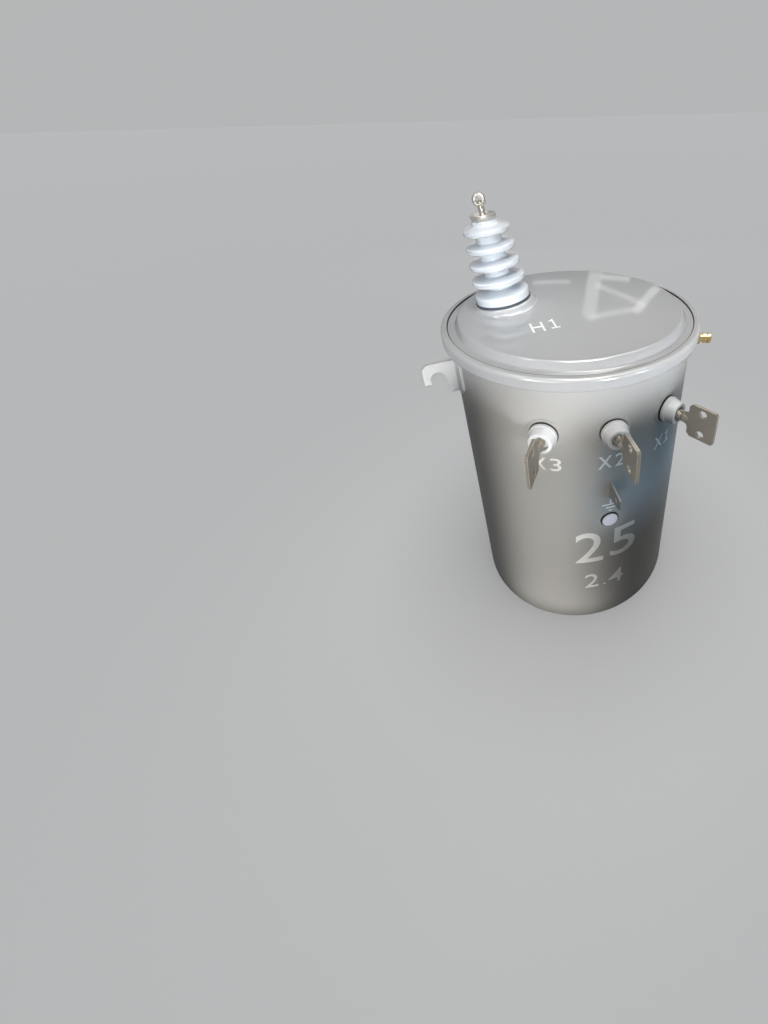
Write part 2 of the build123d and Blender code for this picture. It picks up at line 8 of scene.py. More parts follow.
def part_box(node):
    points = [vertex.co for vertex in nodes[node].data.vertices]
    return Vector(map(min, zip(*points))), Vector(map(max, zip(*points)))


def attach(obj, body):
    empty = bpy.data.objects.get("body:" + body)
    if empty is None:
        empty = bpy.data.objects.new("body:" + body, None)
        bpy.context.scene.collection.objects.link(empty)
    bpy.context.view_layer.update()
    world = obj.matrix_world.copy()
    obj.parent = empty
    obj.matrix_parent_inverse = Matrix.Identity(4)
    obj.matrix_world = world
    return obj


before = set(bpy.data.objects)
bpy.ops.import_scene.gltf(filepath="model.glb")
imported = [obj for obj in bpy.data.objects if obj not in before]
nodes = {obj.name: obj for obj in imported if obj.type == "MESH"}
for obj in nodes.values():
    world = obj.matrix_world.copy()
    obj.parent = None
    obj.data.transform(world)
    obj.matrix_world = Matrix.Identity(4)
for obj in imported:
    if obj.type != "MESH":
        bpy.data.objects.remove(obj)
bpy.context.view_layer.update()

# Sizes in metres. Azimuths are degrees about +Z from +X, and the front bushing is at -90.
wall_sheet = 0.003
tank_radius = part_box("tank_bottom")[1].x + wall_sheet
front_azimuth = -90.0
left_azimuth = -119.0
right_azimuth = -61.0


def polar(azimuth, radius, height):
    """A point at an azimuth in degrees, a distance from the tank's axis and a height."""
    angle = math.radians(azimuth)
    return Vector((radius * math.cos(angle), radius * math.sin(angle), height))


# Shader building

# The colour sockets of a mix node, whose names it uses more than once
mix_first = 6
mix_second = 7
mix_result = 2


class Shader:
    """A principled material, with one short call for each texture that feeds it."""

    def __init__(self, name, **constants):
        self.material = bpy.data.materials.new(name)
        self.material.use_nodes = True
        self.tree = self.material.node_tree
        self.surface = self.tree.nodes["Principled BSDF"]
        for key, value in constants.items():
            self.surface.inputs[key.replace("_", " ")].default_value = value
        self.place = self.tree.nodes.new("ShaderNodeTexCoord").outputs["Object"]

    def feed(self, socket, value):
        """Links another socket to this one, or gives it a plain value."""
        if hasattr(value, "links"):
            self.tree.links.new(value, socket)
        else:
            socket.default_value = value

    def add(self, kind, **inputs):
        """A new node with its inputs fed by name."""
        node = self.tree.nodes.new("ShaderNode" + kind)
        for key, value in inputs.items():
            self.feed(node.inputs[key.replace("_", " ")], value)
        return node

    def noise(self, scale, detail=3.0, roughness=0.5, stretch=None):
        """Cloudy values between 0 and 1, finer at a larger scale."""
        place = self.place
        if stretch:
            place = self.add("Mapping", Vector=place, Scale=stretch).outputs["Vector"]
        texture = self.add("TexNoise", Vector=place, Scale=scale, Detail=detail, Roughness=roughness)
        return texture.outputs["Fac"]

    def spots(self, scale):
        """The distance to the nearest of many scattered points."""
        return self.add("TexVoronoi", Vector=self.place, Scale=scale).outputs["Distance"]

    def span(self, value, low, high, to_low, to_high):
        """A value between low and high, moved to lie between two other limits."""
        scaled = self.add("MapRange", Value=value, From_Min=low, From_Max=high,
                          To_Min=to_low, To_Max=to_high)
        return scaled.outputs["Result"]

    def calc(self, operation, first, second):
        step = self.add("Math")
        step.operation = operation
        self.feed(step.inputs[0], first)
        self.feed(step.inputs[1], second)
        return step.outputs["Value"]

    def blend(self, share, first, second):
        """The first colour at a share of 0 and the second at a share of 1."""
        mix = self.add("Mix")
        mix.data_type = "RGBA"
        self.feed(mix.inputs["Factor"], share)
        self.feed(mix.inputs[mix_first], first)
        self.feed(mix.inputs[mix_second], second)
        return mix.outputs[mix_result]

    def edges(self, radius):
        """1 on sharp edges and 0 on flat stretches, from how far a rounded normal turns."""
        flat = 0.995
        sharp = 0.86
        bevel = self.add("Bevel", Radius=radius)
        bevel.samples = 6
        turn = self.add("VectorMath")
        turn.operation = "DOT_PRODUCT"
        self.feed(turn.inputs[0], bevel.outputs["Normal"])
        self.feed(turn.inputs[1], self.add("NewGeometry").outputs["Normal"])
        return self.span(turn.outputs["Value"], flat, sharp, 0.0, 1.0)

    def bump(self, height, distance, under=None):
        """A normal bent by a height, over a coarser bump where there is one."""
        bump = self.add("Bump", Distance=distance, Height=height)
        if under:
            self.feed(bump.inputs["Normal"], under)
        return bump.outputs["Normal"]

    def finish(self, colour, roughness, normal):
        """Feeds the surface and hands over the material."""
        self.feed(self.surface.inputs["Base Color"], colour)
        self.feed(self.surface.inputs["Roughness"], roughness)
        self.feed(self.surface.inputs["Normal"], normal)
        return self.material


def shade(colour, factor):
    """A colour made darker or lighter, with its alpha."""
    return tuple(channel * factor for channel in colour) + (1.0,)


# Materials

def paint(name, colour, roughness, shine, patchiness=0.10, density=1.5):
    """Sprayed enamel on steel: orange peel, slow waves of the sheet and dull patches."""
    shader = Shader(name, Specular_IOR_Level=shine, IOR=density)
    cloud = shader.noise(scale=9.0, detail=4.0, roughness=0.6)
    patches = shader.noise(scale=26.0, detail=5.0, roughness=0.7)
    waves = shader.bump(shader.noise(scale=6.0, detail=1.0), distance=0.0008)
    peel = shader.noise(scale=260.0, detail=2.0, roughness=0.4)
    return shader.finish(
        colour=shader.blend(cloud, shade(colour, 0.975), shade(colour, 1.025)),
        roughness=shader.span(patches, 0.35, 0.75, roughness, roughness + patchiness),
        normal=shader.bump(peel, distance=0.00004, under=waves))


def porcelain(name, colour, roughness):
    """Fired glaze: slightly uneven, with a clear glossy skin and small darker pits."""
    shader = Shader(name, Specular_IOR_Level=0.6, Coat_Weight=0.6, Coat_Roughness=0.06)
    cloud = shader.noise(scale=35.0, detail=4.0, roughness=0.6)
    pits = shader.span(shader.spots(scale=190.0), 0.10, 0.04, 0.0, 0.35)
    base = shader.blend(cloud, shade(colour, 0.955), shade(colour, 1.03))
    return shader.finish(
        colour=shader.blend(pits, base, shade(colour, 0.80)),
        roughness=shader.span(cloud, 0.3, 0.7, roughness, roughness + 0.08),
        normal=shader.bump(shader.noise(scale=60.0, detail=2.0), distance=0.00022))


def metal(name, colour, edge_colour, roughness, stain, edge_width=0.0012, edge_chalk=0.0):
    """Plated metal that has gone dull: mottled tone, stains, and sharp edges in a lighter, chalkier
    colour that is partly worn plating and partly a painted highlight.
    """
    shader = Shader(name, Metallic=1.0)
    mottle = shader.noise(scale=140.0, detail=6.0, roughness=0.65)
    streaks = shader.noise(scale=60.0, detail=3.0, roughness=0.6, stretch=(1.0, 1.0, 9.0))
    base = shader.blend(mottle, shade(colour, 1.0 - stain), shade(colour, 1.0 + stain))
    base = shader.blend(shader.calc("MULTIPLY", streaks, stain), base, shade(colour, 0.55))
    # Sharp edges take the lighter edge colour: worn plating, together with a painted highlight on
    # the edges
    patchy = shader.span(mottle, 0.3, 0.6, 0.5, 1.0)
    wear_and_edge_highlight = shader.calc("MULTIPLY", shader.edges(edge_width), patchy)
    if edge_chalk:
        metallic = shader.span(wear_and_edge_highlight, 0.0, 1.0, 1.0, 1.0 - edge_chalk)
        shader.feed(shader.surface.inputs["Metallic"], metallic)
    return shader.finish(
        colour=shader.blend(wear_and_edge_highlight, base, shade(edge_colour, 1.0)),
        roughness=shader.span(mottle, 0.3, 0.7, roughness - 0.08, roughness + 0.12),
        normal=shader.bump(shader.noise(scale=900.0, detail=2.0), distance=0.00005))


def rubber(name, colour):
    """Moulded rubber with a dry bloom."""
    shader = Shader(name, Specular_IOR_Level=0.35)
    bloom = shader.noise(scale=180.0, detail=5.0, roughness=0.7)
    return shader.finish(
        colour=shader.blend(bloom, shade(colour, 0.7), shade(colour, 1.6)),
        roughness=shader.span(bloom, 0.3, 0.7, 0.55, 0.75),
        normal=shader.bump(bloom, distance=0.00012))


def plastic(name, colour):
    """A smooth moulded cap with faint flow marks."""
    shader = Shader(name, Specular_IOR_Level=0.5, Subsurface_Weight=0.05)
    flow = shader.noise(scale=50.0, detail=3.0, roughness=0.5)
    return shader.finish(
        colour=shader.blend(flow, shade(colour, 0.94), shade(colour, 1.03)),
        roughness=shader.span(flow, 0.3, 0.7, 0.28, 0.42),
        normal=shader.bump(shader.noise(scale=500.0, detail=2.0), distance=0.00004))


def stencil_paint(name, colour):
    """White marking paint, thin in places so that its tone is uneven."""
    most = 0.45
    shader = Shader(name, Specular_IOR_Level=0.4)
    thin = shader.span(shader.noise(scale=260.0, detail=5.0, roughness=0.7), 0.46, 0.72, 0.0, most)
    return shader.finish(
        colour=shader.blend(thin, shade(colour, 1.0), shade(colour, 0.84)),
        roughness=shader.span(thin, 0.0, most, 0.38, 0.55),
        normal=shader.bump(shader.noise(scale=700.0, detail=2.0), distance=0.00004))


tank_paint = paint("tank_paint", (0.42, 0.424, 0.424), roughness=0.42, shine=0.12)
cover_paint = paint("cover_paint", (0.445, 0.460, 0.480), roughness=0.045, shine=0.85,
                    patchiness=0.045, density=1.8)
band_paint = paint("band_paint", (0.49, 0.503, 0.52), roughness=0.10, shine=0.85,
                   patchiness=0.08, density=1.7)
fitting_paint = paint("fitting_paint", (0.60, 0.61, 0.62), roughness=0.34, shine=0.35)
white_glaze = porcelain("white_glaze", (0.75, 0.80, 0.86), roughness=0.12)
grey_glaze = porcelain("grey_glaze", (0.74, 0.77, 0.81), roughness=0.16)
tinned = metal("tinned_metal", (0.66, 0.64, 0.60), (0.86, 0.83, 0.78),
               roughness=0.34, stain=0.14)
bronze = metal("terminal_metal", (0.60, 0.57, 0.51), (0.88, 0.86, 0.82),
               roughness=0.26, stain=0.18)
spade_metal = metal("spade_metal", (0.42, 0.385, 0.33), (0.95, 0.89, 0.78),
                    roughness=0.34, stain=0.12, edge_width=0.0019, edge_chalk=0.6)
zinc = metal("plated_steel", (0.62, 0.62, 0.61), (0.78, 0.78, 0.77),
             roughness=0.35, stain=0.12)
brass = metal("valve_brass", (0.72, 0.55, 0.28), (0.98, 0.86, 0.62),
              roughness=0.18, stain=0.25)
gasket_black = rubber("gasket_rubber", (0.018, 0.018, 0.020))
gasket_blue = rubber("bushing_gasket_rubber", (0.060, 0.072, 0.092))
cap_plastic = plastic("cap_plastic", (0.88, 0.86, 0.96))
mark_white = stencil_paint("mark_paint", (0.97, 0.98, 0.99))
hidden_fill = rubber("oil_and_core", (0.12, 0.09, 0.06))

node_materials = {
    "tank_shell": tank_paint, "tank_bottom": tank_paint, "core_coils_and_oil": hidden_fill,
    "cover": cover_paint, "cover_gasket": gasket_black, "cover_band": band_paint,
    "band_ear_left": band_paint, "band_ear_right": band_paint,
    "band_bolt": zinc, "band_nut": zinc,
    "hv_gasket": gasket_blue, "hv_porcelain": white_glaze, "hv_cap": tinned,
    "hv_terminal": bronze, "hv_clamp_screw": bronze,
    "ground_tab": tank_paint, "ground_pad": tank_paint,
    "ground_pad_ring": gasket_black, "ground_pad_cap": cap_plastic,
    "relief_valve_coupling": tank_paint, "relief_valve_body": brass, "relief_valve_cap": brass,
    "lifting_lug_left": fitting_paint, "lifting_lug_right": fitting_paint,
    "hanger_bracket_upper": fitting_paint, "hanger_bracket_lower": fitting_paint,
}
for bushing in ("x1", "x2", "x3"):
    node_materials[bushing + "_gasket"] = gasket_black
    node_materials[bushing + "_insulator"] = grey_glaze
    node_materials[bushing + "_spade"] = spade_metal

for name, material in node_materials.items():
    if not nodes[name].material_slots:
        nodes[name].data.materials.append(material)
    for place in nodes[name].material_slots:
        place.material = material


# Mesh helpers

def add_piece(name, mesh, material):
    """Puts a mesh into the scene as a piece of the fixed body."""
    piece = bpy.data.objects.new(name, mesh)
    bpy.context.scene.collection.objects.link(piece)
    mesh.materials.append(material)
    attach(piece, "root")


def grid_mesh(name, rows, closed_stack=True):
    """A mesh from closed rows of points, whose stack may close on itself too."""
    mesh = bpy.data.meshes.new(name)
    count = len(rows[0])
    points = [point for row in rows for point in row]
    faces = []
    for row in range(len(rows) if closed_stack else len(rows) - 1):
        after = (row + 1) % len(rows)
        for column in range(count):
            beside = (column + 1) % count
            faces.append((row * count + column, row * count + beside,
                          after * count + beside, after * count + column))
    mesh.from_pydata(points, [], faces)
    fix = bmesh.new()
    fix.from_mesh(mesh)
    bmesh.ops.recalc_face_normals(fix, faces=fix.faces)
    fix.to_mesh(mesh)
    fix.free()
    for polygon in mesh.polygons:
        polygon.use_smooth = True
    return mesh


# Stencilled marks, each a thin closed layer of paint that follows what it is painted on

layer_top = 0.00010
layer_foot = -0.00015
strip = 0.0025
same_point = 1e-5
on_plane = 1e-7
curve_steps = 8
plain_weight = 0.004
heavy_weight = 0.018
heavy_letters = "X"

# The figure 1 with a foot and a flag, in shares of its width and height
figure_one = [(0, 0), (1, 0), (1, 0.105), (0.64, 0.105), (0.64, 1), (0.47, 1), (0.42, 0.92),
              (0.30, 0.87), (0.06, 0.86), (0.06, 0.765), (0.42, 0.765), (0.42, 0.105), (0, 0.105)]


def flat_face(corners):
    """One flat face from corners in the plane."""
    shape = bmesh.new()
    shape.faces.new([shape.verts.new((across, upward, 0)) for across, upward in corners])
    return shape


def letter_shape(character):
    """The flat outline of one character of the built-in typeface."""
    curve = bpy.data.curves.new("glyph", "FONT")
    curve.body = character
    curve.resolution_u = curve_steps
    curve.offset = heavy_weight if character in heavy_letters else plain_weight
    writer = bpy.data.objects.new("glyph", curve)
    bpy.context.scene.collection.objects.link(writer)
    bpy.context.view_layer.update()
    graph = bpy.context.evaluated_depsgraph_get()
    flat = bpy.data.meshes.new_from_object(writer.evaluated_get(graph))
    bpy.data.objects.remove(writer)
    bpy.data.curves.remove(curve)
    shape = bmesh.new()
    shape.from_mesh(flat)
    bpy.data.meshes.remove(flat)
    bmesh.ops.remove_doubles(shape, verts=shape.verts, dist=same_point)
    return shape


def glyph_faces(character, left, right, bottom, top):
    """The flat outline of one character, scaled to a box."""
    if character == "1":
        return flat_face([(left + (right - left) * across, bottom + (top - bottom) * upward)
                          for across, upward in figure_one])
    shape = letter_shape(character)
    low_x = min(vertex.co.x for vertex in shape.verts)
    high_x = max(vertex.co.x for vertex in shape.verts)
    low_y = min(vertex.co.y for vertex in shape.verts)
    high_y = max(vertex.co.y for vertex in shape.verts)
    for vertex in shape.verts:
        across = (vertex.co.x - low_x) / (high_x - low_x)
        upward = (vertex.co.y - low_y) / (high_y - low_y)
        vertex.co = Vector((left + (right - left) * across, bottom + (top - bottom) * upward, 0.0))
    return shape


def bar_faces(left, right, bottom, top):
    """A plain painted bar."""
    return flat_face([(left, bottom), (right, bottom), (right, top), (left, top)])


def painted_layer(name, shapes, lay):
    """Cuts flat shapes into strips, makes them a thin solid and lays them on a surface."""
    joined = bmesh.new()
    for shape in shapes:
        flat = bpy.data.meshes.new("flat")
        shape.to_mesh(flat)
        shape.free()
        joined.from_mesh(flat)
        bpy.data.meshes.remove(flat)
    for axis in (Vector((1, 0, 0)), Vector((0, 1, 0))):
        spans = [vertex.co.dot(axis) for vertex in joined.verts]
        first = math.ceil(min(spans) / strip)
        last = math.floor(max(spans) / strip)
        for step in range(first, last + 1):
            whole = joined.verts[:] + joined.edges[:] + joined.faces[:]
            bmesh.ops.bisect_plane(joined, geom=whole, dist=on_plane,
                                   plane_co=axis * (step * strip), plane_no=axis)
    bmesh.ops.triangulate(joined, faces=joined.faces)
    grown = bmesh.ops.extrude_face_region(joined, geom=joined.faces[:])
    for vertex in (item for item in grown["geom"] if isinstance(item, bmesh.types.BMVert)):
        vertex.co.z = 1.0
    for vertex in joined.verts:
        outward = layer_top if vertex.co.z > 0.5 else layer_foot
        vertex.co = lay(vertex.co.x, vertex.co.y, outward)
    bmesh.ops.recalc_face_normals(joined, faces=joined.faces)
    mesh = bpy.data.meshes.new(name)
    joined.to_mesh(mesh)
    joined.free()
    add_piece(name, mesh, mark_white)


def on_wall(centre_azimuth):
    """Lays an unrolled point on the tank's wall: across is the arc from a centre azimuth."""
    def lay(across, height, outward):
        azimuth = centre_azimuth + math.degrees(across / tank_radius)
        return polar(azimuth, tank_radius + outward, height)
    return lay


cover_tree = BVHTree.FromObject(nodes["cover"], bpy.context.evaluated_depsgraph_get())


def on_cover(x, y, outward):
    """Lays a point on the cover's crown."""
    spot, _, _, _ = cover_tree.ray_cast(Vector((x, y, 1.0)), Vector((0, 0, -1)))
    return Vector((x, y, spot.z + outward))


def text_mark(name, lay, letters):
    """Paints characters, each with its own box of left, right, bottom and top."""
    painted_layer(name, [glyph_faces(*letter) for letter in letters], lay)


terminal_low = 0.4795
terminal_high = 0.5100
text_mark("mark_x1", on_wall(right_azimuth),
          [("X", -0.0235, 0.0030, terminal_low - 0.004, terminal_high - 0.005),
           ("1", 0.0085, 0.0270, terminal_low - 0.004, terminal_high - 0.005)])
text_mark("mark_x2", on_wall(front_azimuth),
          [("X", -0.0266, 0.0006, terminal_low, terminal_high),
           ("2", 0.0066, 0.0262, terminal_low, terminal_high)])
text_mark("mark_x3", on_wall(left_azimuth),
          [("X", -0.0270, 0.0006, terminal_low + 0.001, terminal_high + 0.001),
           ("3", 0.0072, 0.0282, terminal_low + 0.001, terminal_high + 0.001)])
text_mark("mark_25", on_wall(front_azimuth),
          [("2", -0.0718, -0.0109, 0.2075, 0.3045),
           ("5", 0.0045, 0.0672, 0.2100, 0.3020)])
text_mark("mark_2_4", on_wall(front_azimuth),
          [("2", -0.0515, -0.0196, 0.1130, 0.1625),
           (".", -0.0085, -0.0020, 0.1130, 0.1195),
           ("4", 0.0043, 0.0412, 0.1075, 0.1575)])
text_mark("mark_h1", on_cover,
          [("H", -0.0998, -0.0755, -0.1010, -0.0630),
           ("1", -0.0645, -0.0480, -0.0970, -0.0595)])

# The earth symbol: three bars of half width and foot, and a stem above them
earth_centre = 0.0010
earth_bar = 0.0036
earth_bars = ((0.0170, 0.3782), (0.0095, 0.3695), (0.0033, 0.3612))
earth_stem_half = 0.0019
earth_stem_foot = 0.3830
earth_stem_top = 0.3980
painted_layer("mark_earth", [
    bar_faces(earth_centre - half, earth_centre + half, foot, foot + earth_bar)
    for half, foot in earth_bars
] + [
    bar_faces(earth_centre - earth_stem_half, earth_centre + earth_stem_half,
              earth_stem_foot, earth_stem_top)
], on_wall(front_azimuth))


# Weld beads, painted over, where steel fittings meet the wall

bead_ripple = 0.0026
bead_ripple_share = 0.10
bead_step = 0.0008
bead_sides = 10
lug_bead = 0.0020
tab_bead = 0.0018
bracket_bead = 0.0025
valve_bead = 0.0022
valve_bead_gap = 0.0005


def smooth_loop(corners, step):
    """Points along a closed path of corners, evenly spaced by about a step."""
    points = []
    for number, corner in enumerate(corners):
        after = corners[(number + 1) % len(corners)]
        count = max(1, round((after - corner).length / step))
        points += [corner.lerp(after, share / count) for share in range(count)]
    return points


def weld_bead(name, path, radius, material):
    """A rippled bead along a closed path of points on the tank's wall."""
    rows = []
    travelled = 0.0
    for number, point in enumerate(path):
        after = path[(number + 1) % len(path)]
        before = path[number - 1]
        along = (after - before).normalized()
        travelled += (point - before).length
        ripple = 1.0 + bead_ripple_share * math.sin(2 * math.pi * travelled / bead_ripple)
        out = Vector((point.x, point.y, 0)).normalized()
        aside = along.cross(out).normalized()
        reach = radius * ripple
        row = []
        for side in range(bead_sides):
            turn = 2 * math.pi * side / bead_sides
            row.append(point + aside * (math.cos(turn) * reach) + out * (math.sin(turn) * reach))
        rows.append(row)
    add_piece(name, grid_mesh(name, rows), material)


def plate_weld(name, azimuth, low, high, width, radius, material):
    """The bead round the root of a plate that stands on the wall."""
    half = math.degrees(width / 2 / tank_radius)
    corners = []
    for side, height in ((-1, low), (1, low), (1, high), (-1, high)):
        corners.append(polar(azimuth + side * half, tank_radius, height))
    weld_bead(name, smooth_loop(corners, bead_step), radius, material)


def round_weld(name, azimuth, height, reach, radius, material):
    """The bead round a fitting that stands out of the wall."""
    count = round(2 * math.pi * reach / bead_step)
    path = []
    for number in range(count):
        turn = 2 * math.pi * number / count
        across = math.degrees(reach * math.cos(turn) / tank_radius)
        path.append(polar(azimuth + across, tank_radius, height + reach * math.sin(turn)))
    weld_bead(name, path, radius, material)


lug_azimuths = {"left": 187.0, "right": 7.0}
lug_foot_near = -0.003
lug_foot_far = 0.035
lug_foot_cut = 0.019
for side, azimuth in lug_azimuths.items():
    low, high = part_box("lifting_lug_" + side)
    foot_corners = ((lug_foot_near, low.z), (lug_foot_far - lug_foot_cut, low.z),
                    (lug_foot_far, low.z + lug_foot_cut), (lug_foot_far, high.z),
                    (lug_foot_near, high.z))
    corners = [polar(azimuth + math.degrees(math.asin(across / tank_radius)), tank_radius, height)
               for across, height in foot_corners]
    weld_bead("lug_weld_" + side, smooth_loop(corners, bead_step), lug_bead,
              fitting_paint)

low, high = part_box("ground_tab")
plate_weld("ground_tab_weld", front_azimuth, low.z, high.z, high.x - low.x, tab_bead,
           tank_paint)

cheek_sheet = 0.006
cheek_root_half = 0.035
for level in ("upper", "lower"):
    low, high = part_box("hanger_bracket_" + level)
    middle = (low.z + high.z) / 2
    cheek_middle = high.x - cheek_sheet / 2
    for hand, side in (("left", -1), ("right", 1)):
        azimuth = math.degrees(math.acos(side * cheek_middle / tank_radius))
        plate_weld("bracket_weld_" + level + "_" + hand, azimuth,
                   middle - cheek_root_half, middle + cheek_root_half, cheek_sheet, bracket_bead,
                   fitting_paint)

low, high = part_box("relief_valve_coupling")
valve_azimuth = -22.0
round_weld("valve_weld", valve_azimuth, (low.z + high.z) / 2,
           (high.z - low.z) / 2 + valve_bead_gap, valve_bead, tank_paint)


# The tank's upright seam, a low bead under the paint on the side of the pole

seam_azimuth = 90.0
seam_low = 0.004
seam_high = 0.655
seam_half_width = 0.0032
seam_rise = 0.0008
seam_ripple_share = 0.12
seam_edge_sink = 0.0001
seam_root_sink = 0.0012
seam_columns = 8


def seam_weld():
    """A closed bead with a rounded face, and its root inside the wall."""
    half_turn = math.degrees(seam_half_width / tank_radius)
    count = round((seam_high - seam_low) / bead_step)
    rows = []
    for number in range(count + 1):
        height = seam_low + (seam_high - seam_low) * number / count
        ripple = 1.0 + seam_ripple_share * math.sin(2 * math.pi * height / bead_ripple)
        row = []
        for column in range(seam_columns + 1):
            share = column / seam_columns * 2 - 1
            rise = seam_rise * ripple * (1 - share * share) - seam_edge_sink
            row.append(polar(seam_azimuth + half_turn * share, tank_radius + rise, height))
        for share in (1, -1):
            row.append(polar(seam_azimuth + half_turn * share, tank_radius - seam_root_sink, height))
        rows.append(row)
    mesh = grid_mesh("seam_weld", rows, closed_stack=False)
    close = bmesh.new()
    close.from_mesh(mesh)
    bmesh.ops.holes_fill(close, edges=[edge for edge in close.edges if edge.is_boundary])
    bmesh.ops.recalc_face_normals(close, faces=close.faces)
    close.to_mesh(mesh)
    close.free()
    add_piece("seam_weld", mesh, tank_paint)


seam_weld()


# Threads on the low voltage studs

stud_radius = 0.0079
thread_rise = 0.0005
thread_pitch = 0.0018
thread_start = 0.0195
thread_end = 0.0330
thread_sides = 40
thread_steps = 6


def stud_ring(place, along, reaches):
    """Points round a stud, at a height along it, with a radius for each side."""
    ring = []
    for side, reach in enumerate(reaches):
        turn = 2 * math.pi * side / thread_sides
        ring.append(place @ Vector((reach * math.cos(turn), reach * math.sin(turn), along)))
    return ring


def thread(name, place, material):
    """A fine helical thread on a round stud, as a closed sleeve along the place's Z."""
    count = round((thread_end - thread_start) / thread_pitch * thread_steps)
    rows = []
    for number in range(count + 1):
        along = thread_start + (thread_end - thread_start) * number / count
        reaches = []
        for side in range(thread_sides):
            phase = (along / thread_pitch - side / thread_sides) % 1.0
            reaches.append(stud_radius + thread_rise * (1 - abs(phase * 2 - 1)))
        rows.append(stud_ring(place, along, reaches))
    for along in (thread_end, thread_start):
        rows.append(stud_ring(place, along, [stud_radius - thread_rise] * thread_sides))
    add_piece(name, grid_mesh(name, rows), material)


def outward_frame(azimuth, distance, height):
    """A frame whose Z points out of the tank, and whose Y points up."""
    out = polar(azimuth, 1.0, 0.0)
    side = polar(azimuth + 90.0, 1.0, 0.0)
    up = Vector((0, 0, 1))
    matrix = Matrix.Identity(4)
    for row in range(3):
        matrix[row][0] = side[row]
        matrix[row][1] = up[row]
        matrix[row][2] = out[row]
    return Matrix.Translation(polar(azimuth, distance, height)) @ matrix


low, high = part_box("x2_gasket")
seat_face = -high.y
terminal_height = (low.z + high.z) / 2
for name, azimuth in (("x1", right_azimuth), ("x2", front_azimuth), ("x3", left_azimuth)):
    thread("stud_thread_" + name, outward_frame(azimuth, seat_face, terminal_height),
           spade_metal)


# Painted shade at the joint between the clamping band's lip and the cover: a dark ring that stands
# for the shadow in the gap there, by radius and height over the flange

joint_sides = 240
flange_below_band_top = 0.0025
joint_profile = [(0.2424, -0.0003), (0.2440, -0.0003), (0.2440, 0.0026), (0.2433, 0.0027),
                 (0.2424, 0.0012)]


def joint_gap_shade():
    flange_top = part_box("cover_band")[1].z - flange_below_band_top
    rows = []
    for number in range(joint_sides):
        azimuth = 360.0 * number / joint_sides
        rows.append([polar(azimuth, reach, flange_top + rise) for reach, rise in joint_profile])
    # A thin dark ring in gasket rubber, laid in as painted shade of the gap under the band's lip
    add_piece("band_joint_gap_shade", grid_mesh("band_joint_gap_shade", rows), gasket_black)


joint_gap_shade()


# Camera, as it was fitted to the photograph

camera_spot = Vector((-0.23562, -0.77707, 1.04308))
camera_back = Vector((-0.24739, -0.79919, 0.5478))
camera_level = Vector((0.95528, -0.29571, 0.0))
camera_roll = 0.0192
long_side = 1024
focal_pixels = 431.8
sensor_width = 36.0
shift_right = -0.1857
shift_up = -0.1237
nearest_seen = 0.02


def make_camera():
    upward = camera_back.cross(camera_level).normalized()
    across = (camera_level - upward * camera_roll).normalized()
    upward = (upward + camera_level * camera_roll).normalized()
    data = bpy.data.cameras.new("camera")
    data.sensor_fit = "AUTO"
    data.sensor_width = sensor_width
    data.lens = focal_pixels * sensor_width / long_side
    data.shift_x = shift_right
    data.shift_y = shift_up
    data.clip_start = nearest_seen
    camera = bpy.data.objects.new("camera", data)
    bpy.context.scene.collection.objects.link(camera)
    matrix = Matrix.Identity(4)
    for row in range(3):
        matrix[row][0] = across[row]
        matrix[row][1] = upward[row]
        matrix[row][2] = camera_back.normalized()[row]
        matrix[row][3] = camera_spot[row]
    camera.matrix_world = matrix
    bpy.context.scene.camera = camera


make_camera()


# Floor and backdrop

floor_half_size = 40.0
floor_colour = (0.16, 0.16, 0.16, 1.0)
backdrop_colour = (0.98, 0.99, 1.0, 1.0)
backdrop_glow = 0.47
shadow_reach = 0.35
shadow_samples = 8
shadow_closed = 0.3
shadow_glow_share = 0.5
ambient_colour = (0.78, 0.88, 1.0, 1.0)
ambient_glow = 0.02


def seen_share(shader_tree):
    """1 for rays that see a surface directly, in a mirror or through glass, 0 for diffuse light."""
    path = shader_tree.nodes.new("ShaderNodeLightPath")
    total = path.outputs["Is Camera Ray"]
    for kind in ("Is Glossy Ray", "Is Transmission Ray"):
        add = shader_tree.nodes.new("ShaderNodeMath")
        add.operation = "MAXIMUM"
        shader_tree.links.new(total, add.inputs[0])
        shader_tree.links.new(path.outputs[kind], add.inputs[1])
        total = add.outputs["Value"]
    return total


def make_floor():
    """A plain floor with its own even glow, dimmed by ambient occlusion where the tank stands close
    to it as a painted contact shadow.
    """
    size = floor_half_size
    mesh = bpy.data.meshes.new("floor")
    mesh.from_pydata([(-size, -size, 0), (size, -size, 0), (size, size, 0), (-size, size, 0)], [],
                     [(0, 1, 2, 3)])
    floor = bpy.data.objects.new("floor", mesh)
    bpy.context.scene.collection.objects.link(floor)
    shader = Shader("floor", Specular_IOR_Level=0.1, Roughness=0.9, Base_Color=floor_colour,
                    Emission_Color=backdrop_colour)
    # Painted contact shadow: the glow drops where ambient occlusion finds the tank close by
    open_share = shader.add("AmbientOcclusion", Distance=shadow_reach)
    open_share.samples = shadow_samples
    level = shader.span(open_share.outputs["AO"], shadow_closed, 1.0,
                        shadow_glow_share * backdrop_glow, backdrop_glow)
    glow = shader.calc("MULTIPLY", seen_share(shader.tree), level)
    shader.feed(shader.surface.inputs["Emission Strength"], glow)
    mesh.materials.append(shader.material)


